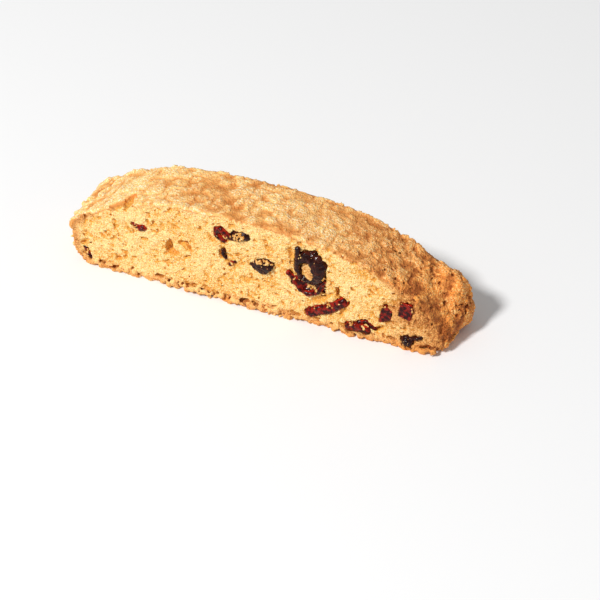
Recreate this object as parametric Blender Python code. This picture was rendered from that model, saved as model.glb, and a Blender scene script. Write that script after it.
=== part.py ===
"""One slice of biscotti with dried cranberries and blueberries baked into it.

X runs along the slice, Y through its thickness (the shown cut face looks to -Y), Z is up.
The slice rests on its flat baked base at Z = 0.
"""

import math
from collections import namedtuple

import bmesh
import bpy
from mathutils import Matrix, Vector, noise

MM = 0.001

# Driving dimensions of the slice.
THICKNESS = 26 * MM
CUT_EDGE = 0.6 * MM  # how far the crust draws in where the knife crumbled its edge
END_BULGE = 3.2 * MM  # how much further the right end swells at the back than at the front
LUMP_HEIGHT = 0.55 * MM
LUMP_SPACING = 13 * MM

# The arch of the cut face in millimetres, from the left corner of the base over the top to the
# right corner: a blunt left end, a long crown and a right end that falls away.
ARCH = (
    (-71.3, 0.0),
    (-74.6, 5.5),
    (-75.3, 12.5),
    (-74.2, 19.6),
    (-61.0, 27.3),
    (-47.5, 33.2),
    (-34.0, 36.5),
    (-17.0, 38.0),
    (0.0, 38.3),
    (15.0, 37.6),
    (29.0, 35.4),
    (40.0, 32.8),
    (50.0, 29.2),
    (59.0, 24.6),
    (66.0, 18.4),
    (70.8, 10.5),
    (73.0, 3.6),
    (71.2, 0.0),
)
ARCH_STEPS = 5  # points to each stretch of the arch
BASE_STEPS = 4
SECTIONS = 7  # cross-sections between the two cut edges

# Fruit. Sizes are across the cut face, in millimetres, deep is how far it reaches into the slice,
# proud how far it stands out of the cut face, and turn lifts its +X end, in degrees.
Fruit = namedtuple("Fruit", "name form x z wide high deep proud turn")
FRONT_FRUIT = (
    Fruit("cranberry_nib", "wrinkled", -46.2, 22.2, 5.6, 3.4, 2.6, 0.3, -17),
    Fruit("cranberry_top", "wrinkled", -12.6, 30.2, 7.6, 5.0, 4.0, 0.5, -38),
    Fruit("blueberry_crumbed", "round", -5.2, 30.6, 6.6, 4.6, 3.6, 0.7, -12),
    Fruit("blueberry_middle", "round", 4.2, 20.6, 9.8, 7.6, 5.0, 0.9, -4),
    Fruit("blueberry_big", "hollow", 22.3, 25.4, 11.6, 14.6, 6.0, 1.3, 4),
    Fruit("cranberry_open", "wrinkled", 21.6, 17.4, 15.4, 9.6, 5.0, 0.9, -8),
    Fruit("cranberry_long", "wrinkled", 28.7, 9.8, 18.0, 4.8, 4.0, 0.6, 36),
    Fruit("cranberry_edge", "wrinkled", 40.4, 4.3, 8.6, 4.8, 4.0, 0.5, 20),
    Fruit("cranberry_cube_left", "cut", 52.0, 13.2, 4.9, 7.0, 4.5, 0.2, -20),
    Fruit("cranberry_cube_right", "cut", 58.6, 17.0, 5.2, 6.4, 4.5, 0.2, -18),
    Fruit("blueberry_low", "round", 60.2, 3.8, 4.8, 4.4, 3.6, 0.5, 0),
)
BACK_FRUIT = (
    Fruit("cranberry_back_left", "wrinkled", -53.0, 14.5, 9.0, 5.6, 4.0, 0.6, 28),
    Fruit("blueberry_back_left", "round", -27.5, 25.5, 9.4, 8.4, 5.0, 1.0, 8),
    Fruit("cranberry_back_low", "wrinkled", -9.0, 9.5, 15.0, 5.0, 4.0, 0.6, -14),
    Fruit("cranberry_back_cube", "cut", 13.0, 27.5, 6.2, 5.4, 4.5, 0.2, 24),
    Fruit("blueberry_back_right", "hollow", 34.0, 16.0, 10.4, 11.4, 5.5, 1.1, -12),
    Fruit("cranberry_back_right", "wrinkled", 55.5, 11.5, 10.0, 5.4, 4.0, 0.6, -30),
)
CLEARANCE = 0.3  # gap between a fruit and its pocket, in millimetres
MOUTH = 2.0  # how far a pocket's cutter runs out past the cut face, in millimetres
SMALL_FRUIT = 6.0  # fruit no wider or higher than this is rounded with fewer facets, in millimetres

# name: colour, roughness
FINISHES = {
    "biscuit": ((0.78, 0.51, 0.22), 0.85),
    "cranberry": ((0.16, 0.018, 0.02), 0.35),
    "blueberry": ((0.035, 0.02, 0.03), 0.35),
}


def clear_scene():
    for obj in list(bpy.data.objects):
        bpy.data.objects.remove(obj, do_unlink=True)


def finish(name):
    """The material of one kind of food, made the first time it is asked for."""
    if name in bpy.data.materials:
        return bpy.data.materials[name]
    colour, roughness = FINISHES[name]
    material = bpy.data.materials.new(name)
    material.use_nodes = True
    shader = material.node_tree.nodes["Principled BSDF"]
    shader.inputs["Base Color"].default_value = (*colour, 1.0)
    shader.inputs["Roughness"].default_value = roughness
    shader.inputs["Metallic"].default_value = 0.0
    return material


def add_object(name, bm, material):
    bmesh.ops.recalc_face_normals(bm, faces=bm.faces)
    mesh = bpy.data.meshes.new(name)
    bm.to_mesh(mesh)
    bm.free()
    mesh.materials.append(finish(material))
    obj = bpy.data.objects.new(name, mesh)
    bpy.context.scene.collection.objects.link(obj)
    return obj


def smooth_step(low, high, value):
    t = min(max((value - low) / (high - low), 0.0), 1.0)
    return t * t * (3 - 2 * t)


def curve_through(knots, steps):
    """Points on a Catmull-Rom curve through the knots, the last one included."""
    ends = [knots[0], *knots, knots[-1]]
    points = []
    for before, start, end, after in zip(ends, ends[1:], ends[2:], ends[3:]):
        for step in range(steps):
            t = step / steps
            bend = 2 * before - 5 * start + 4 * end - after
            twist = 3 * start - before - 3 * end + after
            points.append(start + 0.5 * t * ((end - before) + t * (bend + t * twist)))
    return [*points, knots[-1]]


def outline():
    """The closed outline of the cut face, as (point, outward direction) pairs in X and Z."""
    knots = [Vector((x * MM, 0.0, z * MM)) for x, z in ARCH]
    arch = curve_through(knots, ARCH_STEPS)
    base = [arch[-1].lerp(arch[0], step / BASE_STEPS) for step in range(1, BASE_STEPS)]
    points = arch + base
    rim = []
    for i, point in enumerate(points):
        along = points[(i + 1) % len(points)] - points[i - 1]
        outward = Vector((-along.z, 0.0, along.x)).normalized()
        rim.append((point, outward))
    return rim


def section_places():
    """(y, how far the section draws in) of each cross-section from the front to the back."""
    half = THICKNESS / 2
    inner = half - CUT_EDGE
    places = [(-half, CUT_EDGE)]
    for step in range(SECTIONS):
        places.append((-inner + 2 * inner * step / (SECTIONS - 1), 0.0))
    places.append((half, CUT_EDGE))
    return places


def crust_point(point, outward, y, drawn_in):
    """One point of the crust, with the end's swell and the dough's lumps; the base stays flat."""
    placed = Vector((point.x, y, point.z))
    above_base = smooth_step(0.0, 4 * MM, point.z)
    swell = smooth_step(45 * MM, 74 * MM, point.x) * smooth_step(-THICKNESS / 2, THICKNESS / 2, y)
    placed.x += END_BULGE * swell * smooth_step(-2 * MM, 6 * MM, point.z)
    lump = noise.noise(placed / LUMP_SPACING) + 0.5 * noise.noise(placed * 2.3 / LUMP_SPACING)
    placed += outward * above_base * (LUMP_HEIGHT * lump - drawn_in)
    if point.z <= 0.0:
        placed.z = 0.0
    return placed


def make_slice():
    bm = bmesh.new()
    rim = outline()
    rings = []
    for y, drawn_in in section_places():
        ring = [bm.verts.new(crust_point(point, out, y, drawn_in)) for point, out in rim]
        rings.append(ring)
    for ring, following in zip(rings, rings[1:]):
        for i in range(len(ring)):
            j = (i + 1) % len(ring)
            bm.faces.new((ring[i], ring[j], following[j], following[i]))
    bm.faces.new(rings[0])
    bm.faces.new(rings[-1])
    return add_object("slice", bm, "biscuit")


def form_radius(form, way, seed):
    """Distance from a fruit's centre to its skin in the direction way, for a half size of one."""
    if form == "cut":
        power = 5.0
        squared = sum(abs(part) ** power for part in way) ** (-1 / power)
        return squared * (1 + 0.05 * noise.noise(way * 1.3 + seed))
    if form == "wrinkled":
        folds = noise.noise(Vector((way.x * 1.2, way.y * 2.5, way.z * 2.5)) + seed)
        return 1 + 0.22 * folds
    dent = 0.0
    if form == "hollow":
        dent = 0.5 * smooth_step(0.55, 1.0, -way.y)
    return 1 + 0.1 * noise.noise(way * 1.6 + seed) - dent


def fruit_mesh(fruit, seed_number, margin, mouth):
    """A fruit about its own centre, looking to -Y, with margin all round and mouth more in front."""
    bm = bmesh.new()
    small = max(fruit.wide, fruit.high) <= SMALL_FRUIT
    bmesh.ops.create_icosphere(bm, subdivisions=2 if small else 3, radius=1.0)
    seed = Vector((7.3, 1.9, 4.1)) * (seed_number + 1)
    for vert in bm.verts:
        way = vert.co.normalized()
        skin = way * form_radius(fruit.form, way, seed)
        reach = fruit.proud + mouth if skin.y < 0 else fruit.deep
        halves = Vector((fruit.wide / 2, reach, fruit.high / 2))
        vert.co = Vector(s * (half + margin) * MM for s, half in zip(skin, halves))
    return bm


def make_fruit(fruit, seed_number, facing):
    """A fruit in the cut face on the side of facing (-1 front, 1 back), and its pocket's cutter."""
    kind = fruit.name.split("_")[0]
    place = (
        Matrix.Translation((fruit.x * MM, facing * THICKNESS / 2, fruit.z * MM))
        @ Matrix.Rotation(math.radians(-fruit.turn), 4, "Y")
        @ Matrix.Diagonal((1.0, -facing, 1.0, 1.0))
    )
    made = []
    for name, margin, mouth in ((fruit.name, 0.0, 0.0), (f"pocket_{fruit.name}", CLEARANCE, MOUTH)):
        bm = fruit_mesh(fruit, seed_number, margin, mouth)
        bmesh.ops.transform(bm, matrix=place, verts=bm.verts)
        made.append(add_object(name, bm, kind))
    made[1].hide_render = True
    made[1].display_type = "WIRE"
    return made


def cut(target, cutter):
    modifier = target.modifiers.new(cutter.name, "BOOLEAN")
    modifier.operation = "DIFFERENCE"
    modifier.solver = "EXACT"
    modifier.object = cutter


def centre_on_base(objects):
    """Moves everything so that the middle of the whole's box stands over the origin."""
    graph = bpy.context.evaluated_depsgraph_get()
    points = []
    for obj in objects:
        if not obj.hide_render:
            shape = obj.evaluated_get(graph)
            points += [shape.matrix_world @ Vector(corner) for corner in shape.bound_box]
    middle_x = (min(p.x for p in points) + max(p.x for p in points)) / 2
    middle_y = (min(p.y for p in points) + max(p.y for p in points)) / 2
    for obj in objects:
        obj.location = (-middle_x, -middle_y, 0.0)


def main():
    clear_scene()
    biscuit = make_slice()
    made = {}
    placed = [(fruit, -1) for fruit in FRONT_FRUIT] + [(fruit, 1) for fruit in BACK_FRUIT]
    for number, (fruit, facing) in enumerate(placed):
        piece, pocket = make_fruit(fruit, number, facing)
        cut(biscuit, pocket)
        made[fruit.name] = (piece, pocket)
    # The opened cranberry is squeezed under the big blueberry and takes its shape there.
    cut(made["cranberry_open"][0], made["blueberry_big"][1])
    bpy.context.view_layer.update()
    centre_on_base(list(bpy.data.objects))


main()
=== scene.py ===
"""The looks of one slice of cranberry and blueberry biscotti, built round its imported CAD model.

The biscuit is sculpted as a distance field: the CAD slice gives the form, then crumb, crust, pores,
cracks and hollows for the fruit are worked into it before it is turned into one closed mesh.
Fields are in millimetres; meshes are in metres, in the frame of the CAD model.
"""

import math

import bpy
import numpy as np
import openvdb as vdb
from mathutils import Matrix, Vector


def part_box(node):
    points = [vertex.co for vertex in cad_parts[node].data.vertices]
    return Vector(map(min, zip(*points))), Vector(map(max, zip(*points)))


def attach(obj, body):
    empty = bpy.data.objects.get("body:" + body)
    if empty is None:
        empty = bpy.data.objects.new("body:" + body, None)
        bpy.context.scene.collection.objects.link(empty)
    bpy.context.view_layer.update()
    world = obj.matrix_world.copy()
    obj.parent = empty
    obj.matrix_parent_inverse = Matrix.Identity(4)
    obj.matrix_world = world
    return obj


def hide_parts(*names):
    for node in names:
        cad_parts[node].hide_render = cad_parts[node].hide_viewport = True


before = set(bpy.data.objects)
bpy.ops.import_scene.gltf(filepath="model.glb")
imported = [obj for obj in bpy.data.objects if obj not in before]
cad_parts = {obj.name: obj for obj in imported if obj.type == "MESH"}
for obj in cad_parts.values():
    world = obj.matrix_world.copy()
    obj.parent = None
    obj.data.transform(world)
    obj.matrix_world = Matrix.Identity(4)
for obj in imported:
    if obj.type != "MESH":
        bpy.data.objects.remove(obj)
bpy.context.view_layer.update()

MM = 0.001
VOXEL = 0.36
BAND = 2.6  # relief is worked out this far either side of the smooth form
REACH = 7.0  # the crust's distance field is known to this depth
MOST_TRIANGLES = 196_000
FRUIT_VOXEL = 0.2
STUCK_VOXEL = 0.18
LIP_NOTCHES = 46  # how many on each face
FACE_PORES = 190  # how many on each face
END_PORES = 95
END_CRUMBS = 150
RELIEF_SEED = 5
STUCK_SEED = 17
SLICE_LOW, SLICE_HIGH = (np.array(corner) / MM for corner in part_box("slice"))
MIDDLE = (SLICE_LOW + SLICE_HIGH) / 2
FRONT_Y, BACK_Y = SLICE_LOW[1], SLICE_HIGH[1]
FRUIT = sorted(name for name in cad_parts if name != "slice")


def srgb(red, green, blue):
    """A colour given as 0-255 sRGB, as a linear RGBA."""
    parts = [part / 255 for part in (red, green, blue)]
    return (*(p / 12.92 if p <= 0.04045 else ((p + 0.055) / 1.055) ** 2.4 for p in parts), 1.0)


# ---------------------------------------------------------------- fields and noise

LATTICE = np.random.default_rng(11).uniform(-1, 1, (64, 64, 64))
JITTER = np.random.default_rng(12).uniform(0, 1, (32, 32, 32, 3))


def smooth_step(low, high, value):
    t = np.clip((value - low) / (high - low), 0, 1)
    return t * t * (3 - 2 * t)


def smooth_max(a, b, radius):
    blend = np.clip(0.5 + 0.5 * (a - b) / radius, 0, 1)
    return b + (a - b) * blend + radius * blend * (1 - blend)


def smooth_min(a, b, radius):
    return -smooth_max(-a, -b, radius)


def soft_noise(points, spacing, seed=0):
    """Smooth noise from -1 to 1 whose blobs are about spacing across."""
    cell = points / spacing + np.array([13.7, 5.3, 9.1]) * (seed + 1)
    low = np.floor(cell).astype(np.int64)
    t = cell - low
    t = t * t * (3 - 2 * t)
    x0, y0, z0 = (low & 63).T
    x1, y1, z1 = ((low + 1) & 63).T
    tx, ty, tz = t.T
    near = LATTICE[x0, y0, z0] * (1 - tx) + LATTICE[x1, y0, z0] * tx
    far = LATTICE[x0, y1, z0] * (1 - tx) + LATTICE[x1, y1, z0] * tx
    bottom = near * (1 - ty) + far * ty
    near = LATTICE[x0, y0, z1] * (1 - tx) + LATTICE[x1, y0, z1] * tx
    far = LATTICE[x0, y1, z1] * (1 - tx) + LATTICE[x1, y1, z1] * tx
    top = near * (1 - ty) + far * ty
    return bottom * (1 - tz) + top * tz


def grain_distance(points, spacing, seed=0):
    """Distance to the nearest of scattered grain centres, in units of spacing (0 to about 1)."""
    cell = points / spacing + np.array([3.1, 7.7, 1.9]) * (seed + 1)
    low = np.floor(cell).astype(np.int64)
    part = cell - low
    best = np.full(len(points), 9.0)
    for dx in (-1, 0, 1):
        for dy in (-1, 0, 1):
            for dz in (-1, 0, 1):
                i, j, k = (low[:, 0] + dx) & 31, (low[:, 1] + dy) & 31, (low[:, 2] + dz) & 31
                gap = JITTER[i, j, k] + (dx, dy, dz) - part
                best = np.minimum(best, (gap * gap).sum(axis=1))
    return np.sqrt(best)


class Grid:
    """A box of voxels with one value at each corner."""

    def __init__(self, low, high, voxel):
        self.voxel = voxel
        self.first = np.floor(np.array(low) / voxel).astype(int)
        self.shape = tuple(np.ceil(np.array(high) / voxel).astype(int) - self.first + 1)
        axes = [(start + np.arange(n)) * voxel for start, n in zip(self.first, self.shape)]
        self.x, self.y, self.z = np.meshgrid(*axes, indexing="ij", sparse=True)

    def distance_to(self, obj, reach):
        """Signed distance to the surface of a closed mesh, negative inside."""
        mesh = obj.data
        mesh.calc_loop_triangles()
        points = np.empty(len(mesh.vertices) * 3, np.float32)
        mesh.vertices.foreach_get("co", points)
        faces = np.empty(len(mesh.loop_triangles) * 3, np.int32)
        mesh.loop_triangles.foreach_get("vertices", faces)
        level_set = vdb.FloatGrid.createLevelSetFromPolygons(
            points.reshape(-1, 3) / np.float32(MM),
            triangles=faces.reshape(-1, 3).astype(np.uint32),
            transform=vdb.createLinearTransform(voxelSize=self.voxel),
            halfWidth=reach / self.voxel,
        )
        values = np.full(self.shape, reach, np.float32)
        level_set.copyToArray(values, ijk=tuple(int(i) for i in self.first))
        return values

    def places(self, mask):
        """The (n, 3) positions of the voxels in mask."""
        return (np.argwhere(mask) + self.first) * self.voxel

    def around(self, centre, reach):
        """The part of the grid near a point: its slices and its positions, as (n, 3)."""
        start = np.floor((np.array(centre) - reach) / self.voxel).astype(int) - self.first
        stop = np.ceil((np.array(centre) + reach) / self.voxel).astype(int) - self.first + 1
        start, stop = np.clip(start, 0, self.shape), np.clip(stop, 0, self.shape)
        part = tuple(slice(a, b) for a, b in zip(start, stop))
        size = stop - start
        index = np.indices(tuple(size)).reshape(3, -1).T + start + self.first
        return part, tuple(size), index * self.voxel

    def sample(self, values, points):
        """Values at any points, blended between voxels."""
        cell = points / self.voxel - self.first
        cell = np.clip(cell, 0, np.array(self.shape) - 1.001)
        low = np.floor(cell).astype(int)
        t = cell - low
        total = np.zeros(len(points))
        for corner in range(8):
            step = np.array([corner & 1, corner >> 1 & 1, corner >> 2 & 1])
            weight = np.prod(np.where(step, t, 1 - t), axis=1)
            i, j, k = (low + step).T
            total += weight * values[i, j, k]
        return total

    def surface(self, values):
        """(points, quads) of the surface where values cross zero."""
        volume = vdb.FloatGrid(float(self.voxel * 3))
        volume.transform = vdb.createLinearTransform(voxelSize=self.voxel)
        limit = self.voxel * 3
        shown = np.clip(values, -limit, limit).astype(np.float32)
        volume.copyFromArray(shown, ijk=tuple(int(i) for i in self.first))
        return volume.convertToQuads()


# ---------------------------------------------------------------- meshes


def largest_shell(points, quads):
    """Only the biggest connected surface: loose specks and closed bubbles are dropped."""
    label = np.arange(len(points))
    edges = np.concatenate([quads[:, [0, 1]], quads[:, [1, 2]], quads[:, [2, 3]]]).astype(np.int64)
    while True:
        low = np.minimum(label[edges[:, 0]], label[edges[:, 1]])
        new = label.copy()
        np.minimum.at(new, edges[:, 0], low)
        np.minimum.at(new, edges[:, 1], low)
        new = new[new]
        if (new == label).all():
            break
        label = new
    keep = label == np.bincount(label[quads[:, 0]]).argmax()
    index = np.cumsum(keep) - 1
    return points[keep], index[quads[keep[quads[:, 0]]]]


def mesh_object(name, points, faces):
    """A smooth-shaded object from points in millimetres and an array of triangles or quads."""
    mesh = bpy.data.meshes.new(name)
    mesh.vertices.add(len(points))
    mesh.vertices.foreach_set("co", (np.asarray(points) * MM).astype(np.float32).ravel())
    mesh.loops.add(faces.size)
    mesh.loops.foreach_set("vertex_index", faces.astype(np.int32).ravel())
    mesh.polygons.add(len(faces))
    mesh.polygons.foreach_set("loop_start", np.arange(len(faces), dtype=np.int32) * faces.shape[1])
    mesh.update(calc_edges=True)
    mesh.validate()
    mesh.shade_smooth()
    obj = bpy.data.objects.new(name, mesh)
    bpy.context.scene.collection.objects.link(obj)
    return obj


def facing_out(points, faces):
    """The faces, turned round if they enclose a negative volume."""
    a, b, c = (points[faces[:, i]].astype(float) for i in range(3))
    if np.einsum("ij,ij->i", a, np.cross(b, c)).sum() < 0:
        return faces[:, ::-1]
    return faces


def thinned(obj, most_triangles):
    """Collapses the flattest edges until the mesh holds at most so many triangles."""
    obj.data.calc_loop_triangles()
    count = len(obj.data.loop_triangles)
    if count <= most_triangles:
        return obj
    modifier = obj.modifiers.new("thin", "DECIMATE")
    modifier.ratio = most_triangles / count
    graph = bpy.context.evaluated_depsgraph_get()
    mesh = bpy.data.meshes.new_from_object(obj.evaluated_get(graph))
    obj.modifiers.clear()
    old = obj.data
    obj.data = mesh
    mesh.name = obj.name
    bpy.data.meshes.remove(old)
    mesh.shade_smooth()
    return obj


def vertex_places(obj):
    """The (n, 3) vertices of an object, in millimetres."""
    places = np.empty(len(obj.data.vertices) * 3, np.float32)
    obj.data.vertices.foreach_get("co", places)
    return places.reshape(-1, 3).astype(float) / MM


def set_attribute(obj, name, values):
    attribute = obj.data.attributes.new(name, "FLOAT", "POINT")
    attribute.data.foreach_set("value", np.asarray(values, np.float32))


def add_piece(obj, material, replaced=()):
    """Gives a mesh its material, hangs it on the root body and hides the CAD nodes it stands in for."""
    obj.data.materials.clear()
    obj.data.materials.append(material)
    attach(obj, "root")
    if replaced:
        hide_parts(*replaced)
    return obj


# ---------------------------------------------------------------- fruit shapes

# A fruit is described on its cut face: u along X, v along Z and w out of the face, in millimetres.


def on_face(points, side):
    """The (u, v, w) of points for the front (-1) or back (1) cut face."""
    w = FRONT_Y - points[:, 1] if side < 0 else points[:, 1] - BACK_Y
    return np.stack([points[:, 0], points[:, 2], w], axis=1)


def mound(places, centre, radii, turn=0.0):
    """An ellipsoid, lifted at its +u end by turn degrees."""
    cos, sin = math.cos(math.radians(turn)), math.sin(math.radians(turn))
    gap = places - centre
    along = gap[:, 0] * cos + gap[:, 1] * sin
    across = gap[:, 1] * cos - gap[:, 0] * sin
    shell = np.sqrt((along / radii[0]) ** 2 + (across / radii[1]) ** 2 + (gap[:, 2] / radii[2]) ** 2)
    return (shell - 1) * min(radii)


def strand(places, knots, radius, flat=1.0, taper=0.0):
    """A rounded rope through the knots, flattened in w and thinner at its far end."""
    squash = np.array([1, 1, 1 / flat])
    best = np.full(len(places), 9.0)
    count = len(knots) - 1
    for i in range(count):
        start, end = np.array(knots[i]), np.array(knots[i + 1])
        line = end - start
        t = np.clip((places - start) @ line / (line @ line), 0, 1)
        gap = (places - start - t[:, None] * line) * squash
        thick = radius * (1 - taper * (i + t) / count)
        best = smooth_min(best, np.linalg.norm(gap, axis=1) - thick, 0.15)
    return best * min(1.0, flat)


def block(places, corners, top, bottom, lean=0.25):
    """A cut block with flat sides through the corners, which lean in as they go deeper."""
    middle = np.mean(corners, axis=0)
    best = np.maximum(places[:, 2] - top, bottom - places[:, 2])
    for start, end in zip(corners, corners[1:] + corners[:1]):
        line = np.array(end) - start
        side = np.array([line[1], -line[0]]) / np.hypot(*line)
        if side @ (middle - start) > 0:
            side = -side
        reach = (places[:, :2] - start) @ side - lean * (places[:, 2] - top)
        best = smooth_max(best, reach, 0.25)
    return best


def wrinkles(places, spacing, depth):
    """Dried skin: lumps, with sharp furrows between soft folds."""
    coarse = 1 - np.abs(soft_noise(places * (1, 1.6, 1), spacing, 21))
    fine = 1 - np.abs(soft_noise(places, spacing * 0.45, 22))
    lumps = 1.6 * depth * soft_noise(places, spacing * 1.1, 23)
    return lumps + depth * (coarse**3 - 0.35) + 0.4 * depth * (fine**3 - 0.35)


STALK = ((17.7, 32.9, 0.8), (17.1, 29.0, 0.8), (17.1, 24.0, 0.6), (18.4, 20.2, 0.4))
CREASE = ((20.2, 30.8, 1.9), (21.5, 27.6, 2.1), (22.6, 24.0, 2.0))
OPEN_RIM = (
    (14.6, 19.6, -0.1),
    (15.9, 17.2, 0.1),
    (18.2, 14.6, 0.3),
    (21.0, 13.3, 0.4),
    (24.3, 14.5, 0.5),
    (26.3, 17.0, 0.4),
    (27.2, 20.4, 0.2),
)
NIB_CORE = ((-48.6, 23.9, -0.7), (-46.6, 23.0, -0.4), (-44.5, 23.3, -0.1))
LONG_CORE = ((21.6, 4.9, -0.9), (25.6, 7.3, -0.8), (29.2, 8.9, -0.7), (32.7, 11.7, -0.9), (34.6, 13.3, -1.0))
EDGE_CORE = ((37.2, 3.3, -0.8), (40.0, 4.1, -0.5), (43.4, 3.6, -0.9))
EDGE_FLAP = ((41.0, 6.2, -0.6), (43.6, 6.9, -0.8), (45.2, 5.4, -1.1), (46.9, 4.7, -1.2))
LEFT_CUBE = [(48.5, 8.7), (49.2, 14.4), (50.7, 17.3), (53.5, 15.0), (52.9, 10.9)]
RIGHT_CUBE = [(55.7, 14.0), (56.6, 20.3), (60.8, 19.8), (61.2, 17.6), (60.3, 13.0)]
MIDDLE_BERRY = [(-2.1, 19.6), (0.6, 22.8), (5.0, 24.2), (9.2, 23.3), (7.0, 19.7), (4.8, 16.4), (1.4, 16.7)]
TOP_UPPER = ((-14.5, 31.2, -0.4), (-12.8, 31.9, -0.1), (-10.9, 30.3, -0.3), (-9.0, 29.2, -0.6))
TOP_LOWER = ((-14.6, 28.8, -0.5), (-13.7, 28.0, -0.3), (-12.0, 27.2, -0.6))
CRUMBED_CORE = ((-7.4, 30.2, -1.0), (-5.7, 30.5, -0.8), (-3.6, 31.0, -1.0))
CROSS_SLIT = ((32.3, 18.8, 0.4), (32.6, 16.0, 0.0), (36.3, 13.2, -0.4))
EDGE_SLIT = ((41.5, 6.8, 0.4), (43.8, 7.6, 0.0), (45.6, 5.9, -0.4), (47.3, 4.9, 0.0), (49.1, 6.2, 0.4))


def big_blueberry(places):
    body = mound(places, (21.9, 25.2, -0.4), (6.0, 7.2, 2.5), 6)
    body = smooth_max(body, -mound(places, (20.4, 24.0, 2.2), (3.0, 4.3, 2.9)), 0.25)
    dome = mound(places, (24.5, 25.6, -0.4), (3.2, 6.2, 2.7), 8)
    whole = smooth_min(smooth_min(body, dome, 0.6), strand(places, STALK, 0.95), 0.4)
    whole = smooth_max(whole, 0.3 - strand(places, CREASE, 0.3), 0.3)
    return whole - wrinkles(places, 1.8, 0.16)


def open_cranberry(places):
    bowl = mound(places, (21.2, 17.2, -1.5), (6.8, 4.6, 2.1), -6)
    bowl = smooth_max(bowl, -mound(places, (21.9, 18.0, 1.2), (5.0, 4.1, 2.6), -4), 0.3)
    nub = strand(places, ((13.7, 20.5, 0.1), (15.6, 18.4, -0.3)), 1.0)
    whole = smooth_min(smooth_min(bowl, strand(places, OPEN_RIM, 0.75), 0.5), nub, 0.4)
    return smooth_max(whole - wrinkles(places, 1.6, 0.14), 0.1 - big_blueberry(places), 0.1)


FRONT_SHAPES = {
    "blueberry_big": big_blueberry,
    "cranberry_open": open_cranberry,
    "cranberry_nib": lambda p: strand(p, NIB_CORE, 0.75, taper=-0.6) - wrinkles(p, 1.1, 0.24),
    "cranberry_top": lambda p: smooth_min(strand(p, TOP_UPPER, 1.25), strand(p, TOP_LOWER, 1.1), 0.1)
    - wrinkles(p, 1.4, 0.16),
    "blueberry_crumbed": lambda p: strand(p, CRUMBED_CORE, 1.9) - wrinkles(p, 1.5, 0.2),
    "blueberry_middle": lambda p: smooth_max(
        block(p, MIDDLE_BERRY, 1.5, -4.2, 0.3), mound(p, (3.8, 20.2, -0.9), (6.4, 4.8, 2.3)), 0.8
    )
    - wrinkles(p, 1.9, 0.25),
    "cranberry_long": lambda p: smooth_min(
        strand(p, LONG_CORE, 1.9, flat=0.9),
        strand(p, [(u + 0.7, v - 1.1, w + 0.7) for u, v, w in LONG_CORE], 0.75),
        0.3,
    )
    - wrinkles(p, 2.0, 0.17),
    "cranberry_edge": lambda p: np.minimum(
        smooth_min(
            strand(p, EDGE_CORE, 2.0, flat=0.9),
            strand(p, [(u - 0.2, v + 0.9, w + 1.1) for u, v, w in EDGE_CORE], 0.8),
            0.4,
        ),
        strand(p, EDGE_FLAP, 0.6),
    )
    - wrinkles(p, 2.0, 0.16),
    "cranberry_cube_left": lambda p: block(p, LEFT_CUBE, 0.15, -4.0) - wrinkles(p, 1.6, 0.08),
    "cranberry_cube_right": lambda p: block(p, RIGHT_CUBE, 0.25, -4.0) - wrinkles(p, 1.6, 0.08),
    "blueberry_low": lambda p: smooth_min(
        mound(p, (59.4, 3.7, -0.5), (2.3, 2.2, 1.9)),
        strand(p, ((61.0, 5.2, -0.3), (63.3, 6.2, -0.1), (65.3, 6.8, -0.2)), 0.75),
        0.3,
    )
    - wrinkles(p, 1.3, 0.15),
}


# Small scraps of fruit that show on the cut face but are too small to be parts of the CAD model.
SCRAPS = {
    "blueberry_scrap": ((-12.3, 22.6, -0.3), (-11.9, 21.0, -0.1), (-11.5, 19.6, -0.4)),
    "cranberry_scrap": ((-7.6, 18.9, -0.5), (-8.8, 18.0, -0.3), (-9.6, 17.0, -0.6)),
    "cranberry_scrap_left": ((-70.0, 7.2, -0.7), (-68.6, 4.9, -0.5), (-67.1, 2.9, -0.7)),
}


def cad_shape(name):
    """The CAD fruit, bent and with wrinkled skin, as a distance at any (u, v, w) of the back face."""
    low, high = (np.array(corner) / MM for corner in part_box(name))
    grid = Grid(low - 2.0, high + 2.0, 0.25)
    values = grid.distance_to(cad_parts[name], 2.0)

    def distance(places):
        points = np.stack([places[:, 0], places[:, 2] + BACK_Y, places[:, 1]], axis=1)
        depth, bend = (0.08, 0.45) if "cube" in name else (0.2, 0.9)
        bent = points + bend * np.stack([soft_noise(points, 3.4, seed) for seed in (24, 25, 26)], axis=1)
        return grid.sample(values, bent) - wrinkles(places, 1.7, depth)

    return distance


SHAPES = {name: (-1, shape) for name, shape in FRONT_SHAPES.items()}
SHAPES.update({name: (1, cad_shape(name)) for name in FRUIT if name not in FRONT_SHAPES})


def scrap_shape(knots):
    return lambda places: strand(places, knots, 0.75) - wrinkles(places, 1.1, 0.18)


SHAPES.update({name: (-1, scrap_shape(knots)) for name, knots in SCRAPS.items()})


def fruit_box(name):
    """The corners of the space a fruit may take up."""
    if name in SCRAPS:
        knots = np.array(SCRAPS[name])
        low, high = knots.min(axis=0), knots.max(axis=0)
        first, last = (low[0], FRONT_Y - high[2], low[1]), (high[0], FRONT_Y - low[2], high[1])
        return np.array(first) - 1.5, np.array(last) + 1.5
    low, high = (np.array(corner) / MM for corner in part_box(name))
    return low - (2.6, 1.2, 2.2), high + (2.6, 1.2, 2.2)


def fruit_distance(name, points):
    side, shape = SHAPES[name]
    return shape(on_face(points, side))


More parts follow.
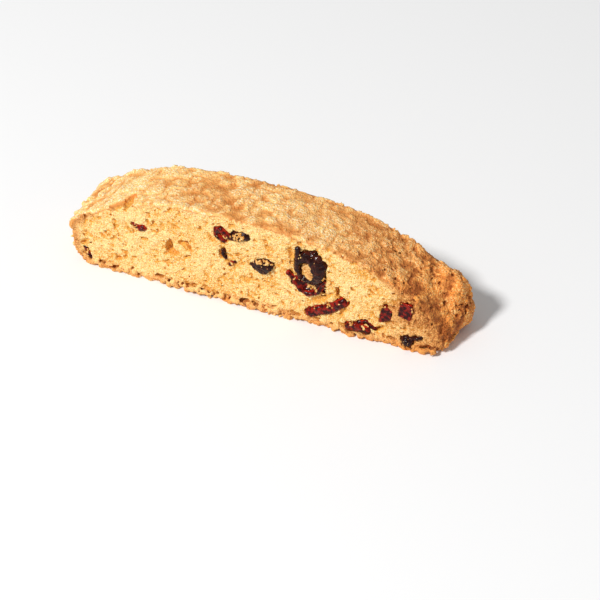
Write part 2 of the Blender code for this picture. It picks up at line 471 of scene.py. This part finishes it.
def make_fruit(name):
    grid = Grid(*fruit_box(name), FRUIT_VOXEL)
    points = grid.places(np.ones(grid.shape, bool))
    values = fruit_distance(name, points).reshape(grid.shape)
    skin, quads = largest_shell(*grid.surface(values))
    obj = mesh_object(name + "_skin", skin, facing_out(skin, quads))
    normals = np.empty(len(obj.data.vertices) * 3, np.float32)
    obj.data.vertices.foreach_get("normal", normals)
    outward = normals.reshape(-1, 3)[:, 1] * SHAPES[name][0]
    # Marks where the skin turns away from the cut face; the material paints a lit, translucent red there.
    set_attribute(obj, "painted_lit_rim", 1 - smooth_step(0.15, 0.75, outward))
    return obj


# Crumbs stuck to the fruit: (u, v, half width, half height, how many, smallest, largest radius).
STUCK = {
    "blueberry_big": (
        (21.2, 24.0, 2.6, 3.0, 80, 0.4, 0.9),
        (23.9, 25.4, 0.6, 0.8, 5, 0.45, 0.7),
        (18.5, 29.8, 0.9, 0.9, 3, 0.2, 0.35),
        (24.4, 29.4, 2.2, 1.4, 3, 0.15, 0.25),
        (27.6, 21.6, 0.6, 1.3, 5, 0.3, 0.5),
        (19.5, 19.8, 2.0, 0.6, 3, 0.15, 0.3),
    ),
    "cranberry_open": ((22.4, 16.6, 3.0, 1.3, 15, 0.35, 0.7), (16.2, 18.2, 0.8, 1.2, 3, 0.2, 0.3)),
    "cranberry_top": ((-12.2, 29.2, 2.6, 0.35, 12, 0.14, 0.22), (-9.4, 29.7, 0.8, 0.8, 4, 0.25, 0.35)),
    "blueberry_crumbed": ((-5.4, 30.9, 2.5, 1.5, 44, 0.2, 0.42),),
    "blueberry_middle": (
        (0.8, 22.3, 1.6, 0.6, 9, 0.25, 0.5),
        (4.6, 22.9, 3.2, 0.9, 26, 0.3, 0.6),
        (3.4, 21.2, 3.0, 1.0, 4, 0.12, 0.22),
    ),
    "cranberry_long": (
        (29.4, 10.4, 1.8, 0.7, 12, 0.2, 0.42),
        (24.0, 7.6, 1.8, 0.6, 4, 0.18, 0.35),
        (33.4, 13.0, 0.8, 0.5, 3, 0.2, 0.35),
    ),
    "cranberry_edge": ((38.0, 5.2, 1.4, 0.6, 5, 0.25, 0.45), (43.0, 5.1, 1.0, 0.6, 5, 0.3, 0.5)),
    "cranberry_cube_left": ((50.2, 16.4, 1.0, 0.6, 6, 0.22, 0.4),),
    "cranberry_cube_right": ((60.9, 16.6, 0.35, 2.8, 10, 0.22, 0.4), (57.2, 20.1, 0.9, 0.3, 3, 0.2, 0.3)),
    "blueberry_low": ((59.6, 4.2, 1.2, 1.2, 4, 0.12, 0.22), (57.9, 2.2, 0.9, 0.7, 4, 0.25, 0.45)),
    "cranberry_nib": ((-46.8, 23.6, 1.6, 0.7, 7, 0.2, 0.38),),
    "cranberry_scrap_left": ((-68.5, 5.0, 1.6, 1.6, 8, 0.25, 0.45),),
    "cranberry_scrap": ((-8.6, 18.4, 1.2, 0.8, 6, 0.2, 0.4),),
}


def make_stuck_crumbs(name, patches, random):
    """Ragged crumbs resting on the skin of a fruit."""
    shape = SHAPES[name][1]
    heights = np.arange(3.5, -4.0, -0.1)
    grid = Grid(*fruit_box(name), STUCK_VOXEL)
    points = grid.places(np.ones(grid.shape, bool))
    places = on_face(points, -1)
    ragged = 0.22 * soft_noise(points, 0.55, 61)
    field = np.full(len(places), 3.0)
    for u, v, half_u, half_v, count, small, large in patches:
        for _ in range(count):
            turn, reach = random.uniform(0, 2 * math.pi), math.sqrt(random.random())
            at_u, at_v = u + half_u * reach * math.cos(turn), v + half_v * reach * math.sin(turn)
            column = np.stack([np.full(len(heights), at_u), np.full(len(heights), at_v), heights], axis=1)
            inside = np.nonzero(shape(column) < 0)[0]
            radius = random.uniform(small, large)
            if len(inside) == 0:
                continue
            centre = np.array([at_u, at_v, heights[inside[0]] + 0.2 * radius])
            near = np.nonzero(np.abs(places - centre).max(axis=1) < radius + 0.6)[0]
            blob = np.linalg.norm(places[near] - centre, axis=1) - radius + ragged[near]
            field[near] = smooth_min(field[near], blob, 0.12)
    skin, quads = grid.surface(field.reshape(grid.shape))
    obj = mesh_object(name + "_crumbs", skin, facing_out(skin, quads))
    set_attribute(obj, "toast", 0.4 + 0.35 * soft_noise(vertex_places(obj), 1.2, 62))
    set_attribute(obj, "height", -0.1 + 0.35 * soft_noise(vertex_places(obj), 0.9, 63))
    return obj


# ---------------------------------------------------------------- the biscuit


# Dough that spilled out round the right end: (x, y, z, radius).
END_LUMPS = (
    (71.2, 7.6, 11.5, 5.2),
    (67.6, 6.8, 17.0, 6.0),
    (71.2, 1.0, 8.5, 4.6),
    (69.0, -5.5, 6.5, 4.2),
    (71.4, 7.5, 6.0, 4.6),
)


def biscuit_form(grid):
    """The smooth form: (signed distance, depth under the crust or base)."""
    depth = -grid.distance_to(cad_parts["slice"], REACH)
    # Near the cut faces the depth is read further in, where neither face nor pocket disturbs it.
    rows = np.arange(grid.shape[1])
    y = (rows + grid.first[1]) * grid.voxel
    inner = np.clip(y, FRONT_Y + REACH - 0.4, BACK_Y - REACH + 0.4)
    depth = depth[:, np.round(inner / grid.voxel).astype(int) - grid.first[1], :]
    faces = np.maximum(FRONT_Y - grid.y, grid.y - BACK_Y)
    # The corner between crust and cut is crisp, except at the right end, where it crumbled away.
    corner = 0.9 + 6.0 * smooth_step(46, 72, grid.x)
    form = smooth_max(-depth, np.broadcast_to(faces, depth.shape), np.broadcast_to(corner, depth.shape))
    for x, y, z, radius in END_LUMPS:
        lump = np.sqrt((grid.x - x) ** 2 + (grid.y - y) ** 2 + (grid.z - z) ** 2) - radius
        form = smooth_min(form, lump, 4.0)
    return form, depth


def crust_share(points, depth):
    """1 on the crust, 0 on the crumb of the cut faces, with a ragged edge between."""
    ragged = 0.7 * soft_noise(points, 1.5, 4) + 0.5 * soft_noise(points, 4.5, 5)
    return 1 - smooth_step(0.3, 1.4, depth + ragged * smooth_step(0.1, 0.6, depth))


def end_share(points):
    """How far a point is into the dark, rough right end, from 0 to 1."""
    x = points[:, 0] - SLICE_LOW[0]
    length = SLICE_HIGH[0] - SLICE_LOW[0]
    return smooth_step(0.72 * length, 0.97 * length, x)


def crumb_relief(points):
    """How far the crumb stands out of the cut face."""
    grains = 0.7 * (0.52 - grain_distance(points, 1.05)) + 0.5 * (0.5 - grain_distance(points, 1.9, 2))
    rise = 0.2 * soft_noise(points, 2.6, 1) + 0.2 * soft_noise(points, 7.5, 2)
    holes = 0.85 * smooth_step(0.46, 0.85, soft_noise(points, 1.35, 3))
    return grains + rise - holes


def crust_relief(points):
    """How far the crust stands out of the smooth form."""
    end = end_share(points)
    left = smooth_step(-62, -72, points[:, 0])
    grains = 0.62 * (0.5 - grain_distance(points, 1.0, 1)) * (1 + 0.5 * end)
    folds = 0.3 * soft_noise(points, 2.2, 6) * (1 + 0.8 * end + 1.6 * left)
    creases = 0.55 * (1 - np.abs(soft_noise(points, 3.6, 10))) ** 5
    swell = 0.34 * soft_noise(points, 5.5, 7) * (1 + 1.2 * end) + 0.35 * soft_noise(points, 17.0, 9)
    pits = 0.6 * smooth_step(0.58, 0.9, soft_noise(points, 1.4, 8)) * (0.6 + 1.2 * end)
    holes = 1.3 * smooth_step(0.5, 0.8, soft_noise(points, 2.0, 11)) * end
    return grains + folds + swell - creases - pits - holes


def scatter_along_lip(random, side_y, outward):
    """(centre, radius) of the crumbs baked on along the lower edge of one cut face."""
    crumbs = []
    x = SLICE_LOW[0] + 6
    while x < SLICE_HIGH[0] - 6:
        bulge = 1.0 * math.exp(-(((x + 8) / 24) ** 2)) + 0.4 * math.sin(x / 5.3)
        radius = 0.45 + 0.9 * random.random() ** 2
        y = side_y + outward * (random.uniform(-0.5, 0.6) + bulge)
        crumbs.append(((x, y, random.uniform(0.3, 2.6)), radius))
        x += random.uniform(0.25, 0.9)
    return crumbs


def scatter_lip_notches(random, side_y):
    """(centre, radii) of the gaps between those crumbs."""
    notches = []
    for _ in range(LIP_NOTCHES):
        x = random.uniform(SLICE_LOW[0] + 7, SLICE_HIGH[0] - 5)
        wide = random.uniform(0.5, 1.3)
        notches.append(((x, side_y, random.uniform(0.2, 3.4)), (wide * 1.5, 1.3, wide * 0.6)))
    return notches


def scatter_end_pores(random, grid, depth):
    """(centre, radii) of the pinholes in the crust of the right end."""
    pores = []
    for _ in range(END_PORES):
        x = SLICE_HIGH[0] - 5 - 30 * random.random() ** 1.4
        y = random.uniform(FRONT_Y, BACK_Y)
        height = crust_height(grid, depth, x)
        wide = 0.3 + 0.5 * random.random() ** 2
        long = wide * random.uniform(0.9, 2.0)
        pores.append(((x, y, height * (1 - 0.5 * random.random() ** 3)), (long, wide, wide)))
    return pores


def scatter_end_crumbs(random, grid, depth):
    """(centre, radius) of the crumbs baked on over the ragged left end."""
    crumbs = []
    for _ in range(END_CRUMBS):
        y, z = random.uniform(FRONT_Y - 0.3, BACK_Y + 0.3), random.uniform(0.8, 24)
        row = depth[:, grid.shape[1] // 2, int(round(z / grid.voxel)) - grid.first[2]]
        x = (np.argmax(row > 0) + grid.first[0]) * grid.voxel
        crumbs.append(((x + random.uniform(0.0, 1.6), y, z), 0.5 + 0.9 * random.random() ** 2))
    return crumbs


def scatter_pores(random, side_y):
    """(centre, radii) of the bubbles cut open in one cut face."""
    pores = []
    for _ in range(FACE_PORES):
        x = random.uniform(SLICE_LOW[0] + 5, SLICE_HIGH[0] - 6)
        z = random.uniform(2.5, SLICE_HIGH[2] - 2)
        wide = 0.32 + 0.8 * random.random() ** 4
        radii = np.array([wide * random.uniform(1.0, 1.9), wide * 1.3, wide * random.uniform(0.5, 0.9)])
        pores.append(((x, side_y, z), radii))
    return pores


def carve(grid, values, centre, radii, turn=0.0, ragged=0.25):
    """Takes a ragged ellipsoid out of the field, lifted at its +X end by turn degrees."""
    part, size, points = grid.around(centre, max(radii) + 1.0)
    if min(size) < 1:
        return
    cos, sin = math.cos(math.radians(turn)), math.sin(math.radians(turn))
    gap = points - centre
    along = gap[:, 0] * cos + gap[:, 2] * sin
    across = gap[:, 2] * cos - gap[:, 0] * sin
    shell = np.sqrt((along / radii[0]) ** 2 + (gap[:, 1] / radii[1]) ** 2 + (across / radii[2]) ** 2)
    cut = (shell - 1) * min(radii) + ragged * soft_noise(points, 1.1, 31)
    values[part] = smooth_max(values[part], -cut.reshape(size), 0.25)


def add_blob(grid, values, centre, radius, ragged=0.3, blend=0.35):
    """Joins a ragged ball to the field."""
    part, size, points = grid.around(centre, radius + 1.2)
    if min(size) < 1:
        return
    blob = np.linalg.norm(points - centre, axis=1) - radius + ragged * soft_noise(points, 1.0, 32)
    values[part] = smooth_min(values[part], blob.reshape(size), blend)


def seat_fruit(grid, values, name):
    """Opens the crumb round a fruit, with a gap in some places and crumb over its edge in others."""
    low, high = fruit_box(name)
    part, size, points = grid.around((low + high) / 2, (high - low) / 2)
    gap = 0.14 + 0.26 * soft_noise(points, 1.5, 51)
    side, shape = SHAPES[name]
    places = on_face(points, side)
    flush = np.minimum(places, (np.inf, np.inf, -0.2))
    fruit = np.minimum(shape(places), shape(flush))  # no crumb is left standing over it
    values[part] = smooth_max(values[part], (gap - fruit).reshape(size), 0.15)


def tear_crumb(grid, values, depth):
    """Slits and hollows torn into the shown cut face where fruit or a bubble pulled away."""
    slits = (
        (CROSS_SLIT, 0.75, 7.0),
        (EDGE_SLIT, 0.75, 7.0),
        (((-33.9, 19.4, 0.3), (-34.2, 16.0, 0.0), (-31.9, 15.6, 0.3)), 1.35, 2.6),
        (((-29.6, 20.9, 0.5), (-27.2, 21.6, 0.3), (-25.2, 18.6, 0.2)), 0.85, 2.6),
        (((-13.2, 21.9, -0.2), (-12.9, 19.6, -0.2)), 0.8, 2.6),
    )
    hollows = (
        ((14.5, 29.0, 0.3), (1.1, 3.0, 1.5), 8),
        ((26.2, 12.4, 0.4), (4.8, 1.5, 1.5), 34),
        ((22.0, 17.9, 1.0), (5.0, 3.4, 2.4), -4),
        ((19.8, 25.0, 2.2), (4.0, 5.6, 2.8), 0),
    )
    cuts = [(np.mean(k, axis=0), lambda p, k=k, r=r, d=d: strand(p, k, r, flat=d)) for k, r, d in slits]
    cuts += [(c, lambda p, c=c, r=r, t=t: mound(p, c, r, t)) for c, r, t in hollows]
    for middle, shape in cuts:  # each a (centre, shape)
        part, size, points = grid.around((middle[0], FRONT_Y - middle[2], middle[1]), 7.0)
        cut = shape(on_face(points, -1)) + 0.28 * soft_noise(points, 1.2, 52)
        values[part] = smooth_max(values[part], -cut.reshape(size), 0.2)
    # The chip broken off the crust's edge near the left end.
    for x, inward, radii in ((-51.0, 2.8, (2.6, 5.2, 1.9)), (-55.5, 0.6, (3.8, 2.2, 1.3))):
        carve(grid, values, (x, FRONT_Y + inward, crust_height(grid, depth, x) - 0.2), radii, 24, 0.5)


def crust_height(grid, depth, x):
    """The height of the crust's top at one x."""
    column = depth[int(round(x / grid.voxel)) - grid.first[0], grid.shape[1] // 2]
    inside = np.nonzero(column > 0)[0]
    return (inside.max(initial=0) + grid.first[2]) * grid.voxel


def biscuit_field():
    """The whole biscuit: (grid, signed distance, smooth form, depth under the crust or base)."""
    margin = 3.0
    grid = Grid(SLICE_LOW - margin, SLICE_HIGH + margin, VOXEL)
    form, depth = biscuit_form(grid)
    band = np.abs(form) < BAND
    points = grid.places(band)
    crust = crust_share(points, depth[band])
    base = smooth_step(2.0, 0.3, points[:, 2])
    relief = crust * crust_relief(points) + (1 - crust) * crumb_relief(points)
    values = form.astype(np.float64)
    values[band] -= relief * (1 - 0.6 * base * crust)
    random = np.random.default_rng(RELIEF_SEED)
    for side_y, outward in ((FRONT_Y, -1), (BACK_Y, 1)):
        for centre, radii in scatter_pores(random, side_y):
            carve(grid, values, centre, radii, random.uniform(-40, 40))
        for centre, radius in scatter_along_lip(random, side_y, outward):
            add_blob(grid, values, centre, radius)
        for centre, radii in scatter_lip_notches(random, side_y):
            carve(grid, values, centre, radii, random.uniform(-30, 30))
    for centre, radius in scatter_end_crumbs(random, grid, depth):
        add_blob(grid, values, centre, radius)
    for centre, radii in scatter_end_pores(random, grid, depth):
        carve(grid, values, centre, radii, random.uniform(-40, 40))
    for name in SHAPES:
        seat_fruit(grid, values, name)
    tear_crumb(grid, values, depth)
    # It stands on the flat base.
    values = np.maximum(values, -np.broadcast_to(grid.z, values.shape))
    return grid, values, form, depth


def toast_share(points, depth):
    """How browned the crumb is: thinly under the crust, deeper at the ends and over the base."""
    x, z = points[:, 0], points[:, 2]
    width = 1.6 + 3.4 * smooth_step(8, 1, z) + 12.0 * smooth_step(40, 72, x) + 5.0 * smooth_step(-62, -74, x)
    wander = 0.9 * soft_noise(points, 3.5, 41) + 0.8 * soft_noise(points, 1.1, 42)
    lip = 0.7 * smooth_step(3.6, 1.0, z + 0.6 * wander)
    return np.maximum(1 - smooth_step(0.0, 1.0, (depth + wander) / width), lip)


def brown_share(points):
    """How dark the crust is baked: most at the right end and along the base."""
    x, z = points[:, 0], points[:, 2]
    right = 0.28 * smooth_step(-62, 0, x) + 0.72 * smooth_step(10, 76, x)
    wander = 0.14 * soft_noise(points, 11.0, 43) + 0.12 * soft_noise(points, 3.0, 44)
    return np.clip(right + wander + 0.35 * smooth_step(4, 0.5, z), 0, 1)


def chart_map(obj, depth_of):
    """Lays the surface out as flat charts by side, all at one scale, in a UV map named OFBake."""
    mesh = obj.data
    mesh.calc_loop_triangles()
    places = vertex_places(obj)
    count = len(mesh.polygons)
    corner = np.empty(len(mesh.loops), np.int32)
    mesh.loops.foreach_get("vertex_index", corner)
    size = np.empty(count, np.int32)
    mesh.polygons.foreach_get("loop_total", size)
    face_of = np.repeat(np.arange(count), size)
    centre = np.stack([np.bincount(face_of, places[corner, i], count) / size for i in range(3)], axis=1)
    x, y, z = centre.T
    under = depth_of(centre)
    inset = np.minimum(y - FRONT_Y, BACK_Y - y)
    side = np.where(z < 0.45, 3, np.where(inset < np.maximum(under, 0) + 0.4, np.where(y < 0, 0, 1), 2))
    # The crust is unrolled as an arc round a line below the base; the rest are seen square on.
    arc_below, arc_radius, map_width, left = 12.0, 64.0, 205.0, 80.0
    px, py, pz = places.T
    around = -np.arctan2(pz + arc_below, px) * arc_radius
    charts = (
        (px + left, pz + 2.0),
        (px + left, pz + 50.0),
        (around + map_width, py + 114.0),
        (px + left, py + 150.0),
    )
    side = side[face_of]
    u, v = (np.choose(side, [chart[axis][corner] for chart in charts]) for axis in (0, 1))
    layer = mesh.uv_layers.new(name="OFBake")
    layer.data.foreach_set("uv", (np.stack([u, v], axis=1) / map_width).astype(np.float32).ravel())


def make_biscuit():
    grid, values, form, depth = biscuit_field()
    points, quads = largest_shell(*grid.surface(values))
    obj = thinned(mesh_object("biscuit", points, facing_out(points, quads)), MOST_TRIANGLES)
    places = vertex_places(obj)
    under = grid.sample(depth, places)
    set_attribute(obj, "crust", crust_share(places, under))
    set_attribute(obj, "toast", toast_share(places, under))
    set_attribute(obj, "brown", brown_share(places))
    # How far the relief stands out of the smooth form; the material paints shade into its low places and
    # light onto its high ones.
    set_attribute(obj, "height", grid.sample(form, places))
    chart_map(obj, lambda centre: grid.sample(depth, centre))
    return obj


# ---------------------------------------------------------------- materials


def new_material(name):
    material = bpy.data.materials.new(name)
    material.use_nodes = True
    tree = material.node_tree
    return material, tree, tree.nodes["Principled BSDF"]


def node(tree, kind, **settings):
    made = tree.nodes.new("ShaderNode" + kind)
    for key, value in settings.items():
        setattr(made, key, value)
    return made


def mapped(tree, value, low, high, to_low=0.0, to_high=1.0):
    """A value mapped smoothly from one range to another."""
    made = node(tree, "MapRange", interpolation_type="SMOOTHSTEP")
    tree.links.new(value, made.inputs["Value"])
    for key, number in zip(("From Min", "From Max", "To Min", "To Max"), (low, high, to_low, to_high)):
        made.inputs[key].default_value = number
    return made.outputs["Result"]


def blended(tree, factor, first, second):
    """A mix of two colours, each a socket or a linear RGBA."""
    made = node(tree, "Mix", data_type="RGBA")
    tree.links.new(factor, made.inputs["Factor"])
    for socket, colour in ((made.inputs[6], first), (made.inputs[7], second)):
        if isinstance(colour, tuple):
            socket.default_value = colour
        else:
            tree.links.new(colour, socket)
    return made.outputs[2]


def speckle(tree, spacing_mm, detail=2.0):
    """Noise from 0 to 1 whose blobs are about spacing_mm across."""
    coords = node(tree, "TexCoord")
    made = node(tree, "TexNoise")
    made.inputs["Scale"].default_value = 1 / (spacing_mm * MM)
    made.inputs["Detail"].default_value = detail
    tree.links.new(coords.outputs["Object"], made.inputs["Vector"])
    return made.outputs["Fac"]


def attribute(tree, name):
    return node(tree, "Attribute", attribute_name=name).outputs["Fac"]


def bump(tree, shader, height, distance_mm, strength=1.0):
    made = node(tree, "Bump")
    made.inputs["Strength"].default_value = strength
    made.inputs["Distance"].default_value = distance_mm * MM
    tree.links.new(height, made.inputs["Height"])
    tree.links.new(made.outputs["Normal"], shader.inputs["Normal"])


def cells(tree, spacing_mm):
    """Rounded grains about spacing_mm across, from 0 between them to 1 on top."""
    coords = node(tree, "TexCoord")
    made = node(tree, "TexVoronoi")
    made.inputs["Scale"].default_value = 1 / (spacing_mm * MM)
    tree.links.new(coords.outputs["Object"], made.inputs["Vector"])
    return mapped(tree, made.outputs["Distance"], 0.0, 0.75, 1.0, 0.0)


def combined(tree, operation, first, second):
    made = node(tree, "Math", operation=operation)
    tree.links.new(first, made.inputs[0])
    tree.links.new(second, made.inputs[1])
    return made.outputs[0]


def added(tree, first, second):
    return combined(tree, "ADD", first, second)


def multiplied(tree, first, second):
    return combined(tree, "MULTIPLY", first, second)


def biscuit_material():
    material, tree, shader = new_material("biscuit")
    height, toast, brown = (attribute(tree, name) for name in ("height", "toast", "brown"))
    fine = speckle(tree, 0.5, 1.0)

    # Crumb colour, with painted light: the height term paints shade into the pits with a darker golden tone
    # and highlights onto the raised grains with a pale tone; toasting and random grain add real colour.
    low = blended(tree, toast, srgb(226, 156, 58), srgb(152, 78, 26))
    high = blended(tree, toast, srgb(253, 217, 150), srgb(228, 152, 74))
    grain = mapped(tree, fine, 0.3, 0.7, -0.52, 0.44)
    crumb = blended(tree, added(tree, mapped(tree, height, -0.55, 0.3), grain), low, high)

    low = blended(tree, brown, srgb(230, 148, 70), srgb(162, 82, 28))
    middle = blended(tree, brown, srgb(255, 208, 130), srgb(242, 148, 62))
    pale = blended(tree, brown, srgb(255, 240, 196), srgb(252, 188, 104))
    patchy = mapped(tree, speckle(tree, 4.0, 1.0), 0.35, 0.65, -0.15, 0.2)
    # Painted shade: the height term darkens the crust in its hollows and lightens it on its rises; the
    # patchy term is random tone.
    crust = blended(tree, added(tree, mapped(tree, height, -0.75, 0.25), patchy), low, middle)
    freckles = mapped(tree, speckle(tree, 1.2, 2.0), 0.6, 0.7, 0.0, 0.75)
    crust = blended(tree, freckles, crust, low)
    # Painted shade: dark specks stand for the shade inside pinholes too small for the mesh, more of them
    # where the crust is browner.
    pinholes = mapped(tree, speckle(tree, 0.8, 1.0), 0.66, 0.71)
    pinholes = multiplied(tree, pinholes, mapped(tree, brown, 0.25, 0.9))
    crust = blended(tree, pinholes, crust, srgb(96, 42, 16))
    # Pale specks, partly sugar and partly painted glints, kept to the raised crust; there they also get a
    # lower roughness.
    sugar_and_glints = mapped(tree, speckle(tree, 0.62, 1.0), 0.5, 0.62)
    sugar_and_glints = multiplied(tree, sugar_and_glints, mapped(tree, height, -0.35, 0.15))
    crust = blended(tree, sugar_and_glints, crust, pale)

    share = attribute(tree, "crust")
    colour = blended(tree, share, crumb, crust)
    edge = multiplied(tree, mapped(tree, share, 0.0, 0.5), mapped(tree, share, 0.5, 1.0, 0.8, 0.0))
    edge = multiplied(tree, edge, mapped(tree, speckle(tree, 2.4), 0.4, 0.6))
    colour = blended(tree, edge, colour, low)
    tree.links.new(colour, shader.inputs["Base Color"])
    rough = mapped(tree, multiplied(tree, sugar_and_glints, share), 0.3, 1.0, 0.75, 0.4)
    tree.links.new(rough, shader.inputs["Roughness"])
    shader.inputs["Specular IOR Level"].default_value = 0.35
    shader.inputs["Subsurface Weight"].default_value = 0.2
    shader.inputs["Subsurface Scale"].default_value = 2.0 * MM
    shader.inputs["Subsurface Radius"].default_value = (1.0, 0.6, 0.25)
    bump(tree, shader, added(tree, cells(tree, 0.8), fine), 0.3, 0.8)
    return material


def fruit_material(name, colours, shine):
    """Dried skin in (dark, light, edge, dust) colours; shine is its lowest roughness. The edge colour is
    painted light, a lit and translucent red along the rims where the skin turns away from the face; the dust
    specks are partly crumb dust and partly painted highlights.
    """
    dark, light, edge, dust_and_highlights = colours
    material, tree, shader = new_material(name)
    colour = blended(tree, mapped(tree, speckle(tree, 1.5), 0.44, 0.64), dark, light)
    # Painted light: a lit, translucent red edge colour where the skin turns away from the face, broken up by
    # noise.
    painted_lit_rim = multiplied(tree, attribute(tree, "painted_lit_rim"), mapped(tree, speckle(tree, 2.0), 0.35, 0.6))
    colour = blended(tree, painted_lit_rim, colour, edge)
    # Pale specks: partly crumb dust, partly painted highlights.
    colour = blended(tree, mapped(tree, speckle(tree, 0.7, 1.0), 0.66, 0.76, 0.0, 0.4), colour, dust_and_highlights)
    tree.links.new(colour, shader.inputs["Base Color"])
    rough = mapped(tree, speckle(tree, 0.9), 0.35, 0.65, shine - 0.08, shine + 0.12)
    tree.links.new(rough, shader.inputs["Roughness"])
    shader.inputs["Specular IOR Level"].default_value = 0.18
    bump(tree, shader, speckle(tree, 0.9), 0.18, 0.55)
    return material


# ---------------------------------------------------------------- stage


def add_area_light(name, place, target, size, power):
    light = bpy.data.lights.new(name, "AREA")
    light.shape = "DISK"
    light.size = size
    light.energy = power
    obj = bpy.data.objects.new(name, light)
    obj.location = place
    obj.rotation_euler = (Vector(target) - Vector(place)).to_track_quat("-Z", "Y").to_euler()
    bpy.context.scene.collection.objects.link(obj)


def make_stage():
    """A white floor in even white light, with one lamp in front, left of and above the slice."""
    half, floor_grey, sky_strength, key_watts = 1.5, 0.905, 0.36, 38.5
    mesh = bpy.data.meshes.new("floor")
    corners = [(-half, -half, 0), (half, -half, 0), (half, half, 0), (-half, half, 0)]
    mesh.from_pydata(corners, [], [(0, 1, 2, 3)])
    floor = bpy.data.objects.new("floor", mesh)
    bpy.context.scene.collection.objects.link(floor)
    material, _, shader = new_material("floor")
    shader.inputs["Base Color"].default_value = (floor_grey, floor_grey, floor_grey, 1)
    shader.inputs["Roughness"].default_value = 0.9
    mesh.materials.append(material)

    world = bpy.data.worlds.new("studio")
    bpy.context.scene.world = world
    world.use_nodes = True
    background = world.node_tree.nodes["Background"]
    background.inputs["Color"].default_value = (1, 1, 1, 1)
    background.inputs["Strength"].default_value = sky_strength
    add_area_light("key", (-0.62, -1.22, 1.46), (0, 0, 0.01), 0.36, key_watts)


def make_camera():
    """Looks down on the front cut face, with the rounded end nearer than the blunt one."""
    azimuth, elevation = math.radians(24.5), math.radians(37.0)
    distance, lens_mm = 0.75, 123.0
    level = Vector((math.sin(azimuth), -math.cos(azimuth), 0))
    back = level * math.cos(elevation) + Vector((0, 0, math.sin(elevation)))
    right = Vector((math.cos(azimuth), math.sin(azimuth), 0))
    up = back.cross(right)
    centre = Vector((MIDDLE[0], MIDDLE[1], 15.0)) * MM
    # The slice sits left of and above the middle of the picture.
    aim = centre + right * 11.2 * MM - up * 16.4 * MM
    camera = bpy.data.cameras.new("camera")
    camera.lens = lens_mm
    camera.sensor_width = 36.0
    camera.clip_start = 0.05
    obj = bpy.data.objects.new("camera", camera)
    obj.location = centre + back * distance
    obj.rotation_euler = (aim - obj.location).to_track_quat("-Z", "Y").to_euler()
    bpy.context.scene.collection.objects.link(obj)
    bpy.context.scene.camera = obj


# ---------------------------------------------------------------- the whole

make_camera()
make_stage()
bpy.context.scene.view_settings.view_transform = "Standard"

BISCUIT = biscuit_material()
add_piece(make_biscuit(), BISCUIT, ["slice"])
# Skin colours: dark, light, a painted lit edge for the rims, and pale specks that are partly crumb dust and
# partly painted highlights.
CRANBERRY_COLOURS = (srgb(46, 3, 4), srgb(136, 24, 12), srgb(190, 44, 24), srgb(150, 66, 46))
BLUEBERRY_COLOURS = (srgb(32, 7, 6), srgb(64, 22, 12), srgb(84, 28, 18), srgb(116, 70, 44))
FRUIT_MATERIALS = {
    "cranberry": fruit_material("cranberry", CRANBERRY_COLOURS, 0.2),
    "blueberry": fruit_material("blueberry", BLUEBERRY_COLOURS, 0.16),
}
for fruit in SHAPES:
    kind = fruit.split("_")[0]
    add_piece(make_fruit(fruit), FRUIT_MATERIALS[kind], [fruit] if fruit in FRUIT else [])
CRUMB_RANDOM = np.random.default_rng(STUCK_SEED)
for fruit, patches in STUCK.items():
    add_piece(make_stuck_crumbs(fruit, patches, CRUMB_RANDOM), BISCUIT)
